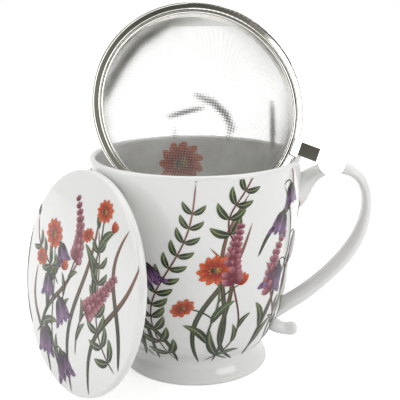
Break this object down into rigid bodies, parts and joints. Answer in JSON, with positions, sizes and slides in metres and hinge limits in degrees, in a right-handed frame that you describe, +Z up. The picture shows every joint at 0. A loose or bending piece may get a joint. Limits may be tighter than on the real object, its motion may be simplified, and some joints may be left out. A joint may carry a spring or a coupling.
{
  "type": "lidded_tea_mug_with_infuser",
  "caption": "White porcelain tea mug with a strap handle, a loose porcelain lid leaning on its front and a stainless mesh infuser standing tilted in its mouth",
  "frame": {"origin": "on the mug's axis, in the plane of the table under its foot ring", "axes": "+Z up along the mug's axis, +X towards the handle, -Y towards the front of the mug"},
  "size_m": [0.1636, 0.1225, 0.1679],
  "materials": {
    "porcelain": "gloss",
    "polished_steel": "polished",
    "steel_mesh": "satin"
  },
  "bodies": {
    "mug": {"mug_body": "porcelain", "mug_handle": "porcelain"},
    "lid": {"lid": "porcelain"},
    "infuser": {"infuser_flange": "polished_steel", "infuser_hoop": "polished_steel", "infuser_mesh": "steel_mesh", "infuser_tab": "polished_steel", "infuser_weld_spots": "polished_steel"}
  },
  "joints": [
    {"name": "lid", "type": "slide", "parent": "mug", "child": "lid", "axis": [-0.4009, -0.2988, 0.866], "range_m": [0, 0.05]},
    {"name": "infuser", "type": "slide", "parent": "mug", "child": "infuser", "axis": [0, 0, 1], "range_m": [0, 0.08]}
  ]
}
